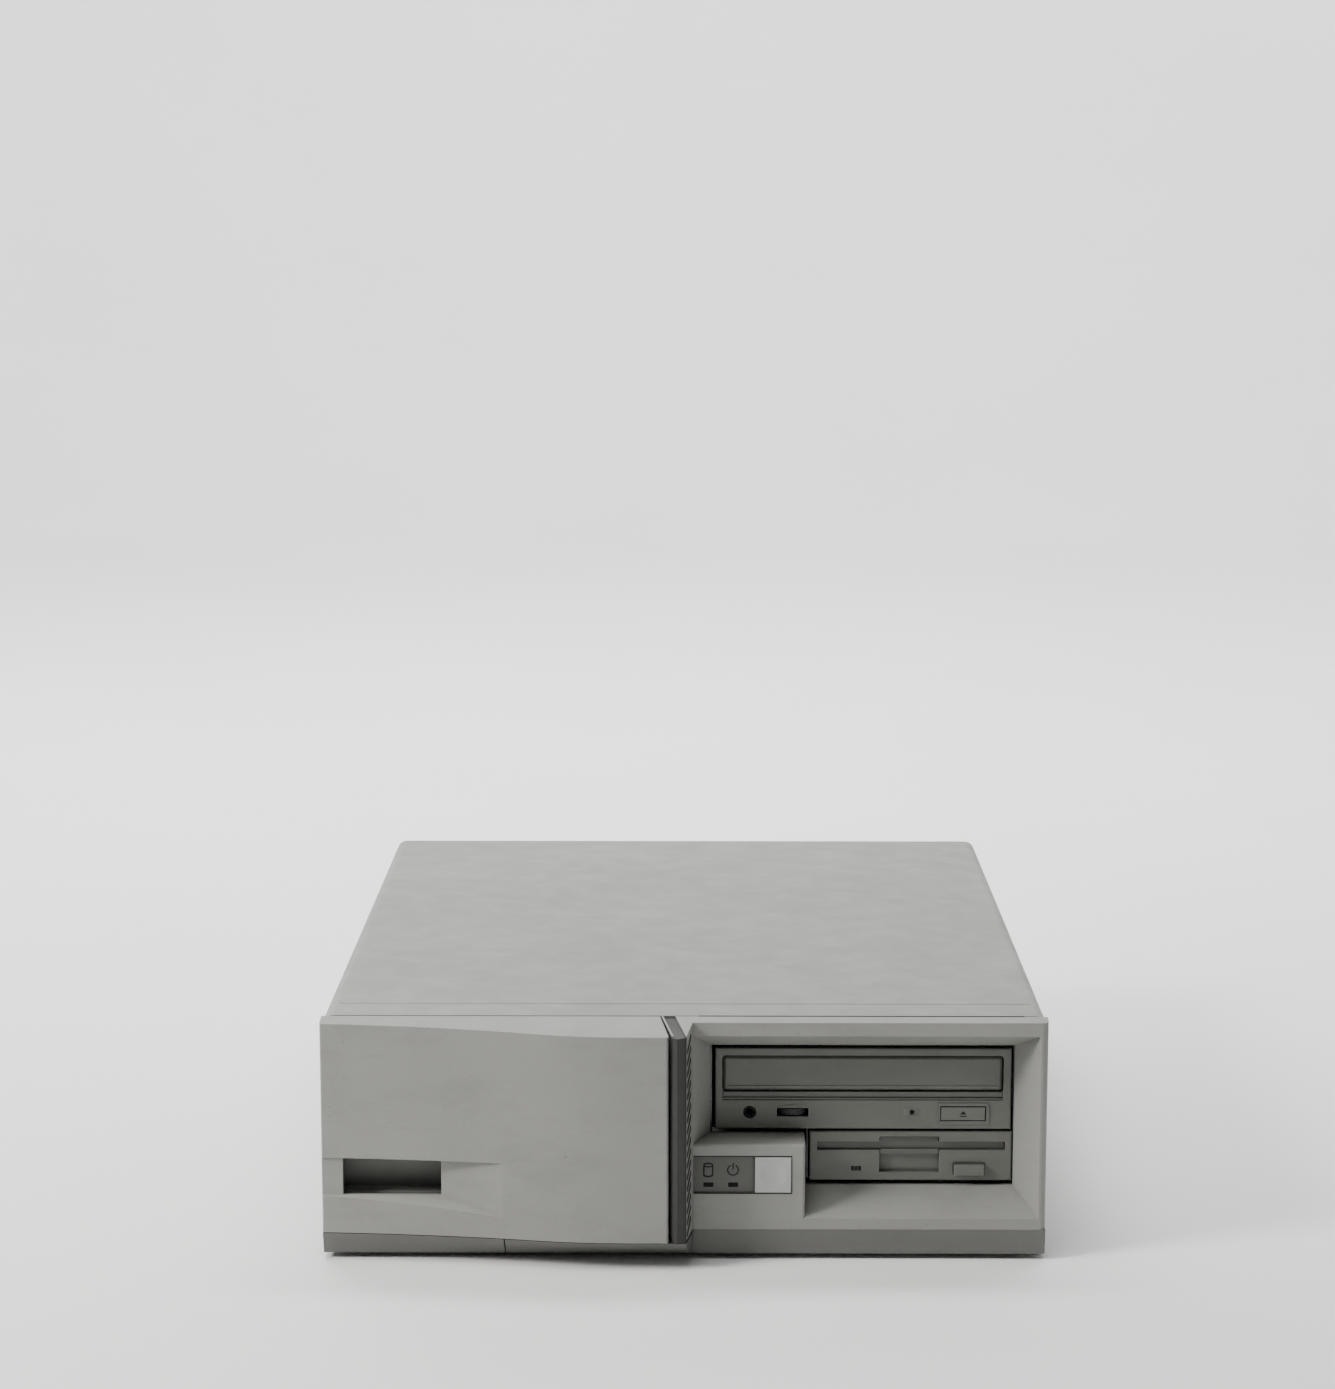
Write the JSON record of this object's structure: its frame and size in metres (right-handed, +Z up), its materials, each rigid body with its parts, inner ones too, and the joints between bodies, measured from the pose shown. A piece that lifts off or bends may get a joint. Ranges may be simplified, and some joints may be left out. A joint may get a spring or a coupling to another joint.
{
  "type": "desktop computer case",
  "caption": "Low wide desktop computer with a bulging hinged front door, disc tray drive, diskette drive, power button, slide-off steel cover and a full interior.",
  "frame": {"origin": "centre of the footprint, on the surface that the rubber feet stand on", "axes": "+Z up, +X to the right when facing the front, +Y from the front to the rear sockets"},
  "size_m": [0.359, 0.449, 0.123],
  "materials": {
    "case_plastic": "fine-grained warm grey moulding",
    "trim_plastic": "dark grey moulding",
    "drive_plastic": "grey moulding",
    "button_plastic": "pale grey moulding",
    "dark_plastic": "black moulding",
    "painted_steel": "warm grey textured paint",
    "zinc_steel": "galvanised sheet",
    "bright_steel": "plated",
    "cast_metal": "cast",
    "sink_metal": "extruded",
    "green_board": "solder mask",
    "ceramic": "ceramic",
    "lamp": "clear",
    "foot_rubber": "moulded",
    "cable": "flat cable",
    "screw_steel": "plated"
  },
  "bodies": {
    "case": {"base_pan": "zinc_steel", "board_parts": "dark_plastic", "board_screws": "screw_steel", "board_sockets": "button_plastic", "cd_bezel": "drive_plastic", "cd_case": "zinc_steel", "cd_deck": "dark_plastic", "cd_rails": "dark_plastic", "control_panel": "drive_plastic", "cpu_fan_frame": "dark_plastic", "disk_bracket": "zinc_steel", "drive_cage": "zinc_steel", "feet": "foot_rubber", "floppy_bezel": "drive_plastic", "floppy_case": "zinc_steel", "front_bezel": "case_plastic", "hard_disk": "cast_metal", "headphone_socket": "dark_plastic", "heat_sink": "sink_metal", "lamps": "lamp", "main_board": "green_board", "mains_inlet": "dark_plastic", "memory_modules": "green_board", "network_card": "green_board", "plinth": "case_plastic", "port_plate": "zinc_steel", "port_sockets": "bright_steel", "power_lead": "cable", "power_switch": "dark_plastic", "processor": "ceramic", "psu_case": "zinc_steel", "psu_fan_frame": "dark_plastic", "psu_fan_guard": "bright_steel", "psu_parts": "green_board", "rear_panel": "zinc_steel", "ribbon_cables": "cable", "riser_card": "green_board", "slot_covers": "zinc_steel", "speaker": "dark_plastic", "switch_frames": "dark_plastic", "trim_strip": "trim_plastic"},
    "cover": {"top_cover": "painted_steel", "cover_screws": "screw_steel"},
    "door": {"front_door": "case_plastic", "door_hinge_pins": "bright_steel"},
    "power_button": {"power_button": "button_plastic"},
    "disc_tray": {"cd_tray": "dark_plastic", "cd_tray_front": "drive_plastic"},
    "disc_eject_key": {"cd_eject_key": "drive_plastic"},
    "volume_wheel": {"cd_volume_wheel": "dark_plastic"},
    "disc_spindle": {"cd_spindle": "bright_steel"},
    "lens_carriage": {"cd_lens_carriage": "dark_plastic"},
    "diskette_flap": {"floppy_flap": "drive_plastic"},
    "diskette_eject_key": {"floppy_eject_key": "drive_plastic"},
    "diskette_spindle": {"floppy_spindle": "bright_steel"},
    "supply_fan": {"psu_fan_rotor": "dark_plastic"},
    "processor_fan": {"cpu_fan_rotor": "dark_plastic"},
    "mains_rocker": {"rocker_key": "dark_plastic"},
    "voltage_slider": {"selector_slider": "button_plastic"}
  },
  "joints": [
    {"name": "cover_slide", "type": "slide", "parent": "case", "child": "cover", "axis": [0, 1, 0], "range_m": [0, 0.435]},
    {"name": "door_hinge", "type": "hinge", "parent": "case", "child": "door", "pos_m": [-0.0096, -0.2216, 0.06], "axis": [0, 0, 1], "range_deg": [0, 90]},
    {"name": "power_button_press", "type": "slide", "parent": "case", "child": "power_button", "axis": [0, 1, 0], "range_m": [0, 0.0025], "stiffness_N_per_m": 600, "springref_m": -0.0008},
    {"name": "tray_slide", "type": "slide", "parent": "case", "child": "disc_tray", "axis": [0, -1, 0], "range_m": [0, 0.135]},
    {"name": "disc_eject_press", "type": "slide", "parent": "case", "child": "disc_eject_key", "axis": [0, 1, 0], "range_m": [0, 0.0016], "stiffness_N_per_m": 600, "springref_m": -0.0006},
    {"name": "volume_turn", "type": "hinge", "parent": "case", "child": "volume_wheel", "pos_m": [0.0543, -0.1776, 0.0702], "axis": [0, 0, 1], "range_deg": [-135, 135]},
    {"name": "disc_spin", "type": "hinge", "parent": "case", "child": "disc_spindle", "pos_m": [0.0895, -0.102, 0.077], "axis": [0, 0, 1], "continuous": true},
    {"name": "lens_slide", "type": "slide", "parent": "case", "child": "lens_carriage", "axis": [0, 1, 0], "range_m": [0, 0.034]},
    {"name": "flap_turn", "type": "hinge", "parent": "case", "child": "diskette_flap", "pos_m": [0.1129, -0.183, 0.057], "axis": [1, 0, 0], "range_deg": [0, 70], "stiffness_Nm_per_rad": 0.002, "springref_deg": -20.05},
    {"name": "diskette_eject_press", "type": "slide", "parent": "case", "child": "diskette_eject_key", "axis": [0, 1, 0], "range_m": [0, 0.003], "stiffness_N_per_m": 400, "springref_m": -0.0008},
    {"name": "diskette_spin", "type": "hinge", "parent": "case", "child": "diskette_spindle", "pos_m": [0.1135, -0.119, 0.044], "axis": [0, 0, 1], "continuous": true},
    {"name": "supply_fan_spin", "type": "hinge", "parent": "case", "child": "supply_fan", "pos_m": [0.1418, 0.2075, 0.047], "axis": [0, 1, 0], "continuous": true},
    {"name": "processor_fan_spin", "type": "hinge", "parent": "case", "child": "processor_fan", "pos_m": [-0.11, 0.072, 0.042], "axis": [0, 0, 1], "continuous": true},
    {"name": "mains_rocker_turn", "type": "hinge", "parent": "case", "child": "mains_rocker", "pos_m": [0.097, 0.2145, 0.056], "axis": [1, 0, 0], "range_deg": [-18, 0]},
    {"name": "voltage_slide", "type": "slide", "parent": "case", "child": "voltage_slider", "axis": [1, 0, 0], "range_m": [0, 0.005]}
  ]
}
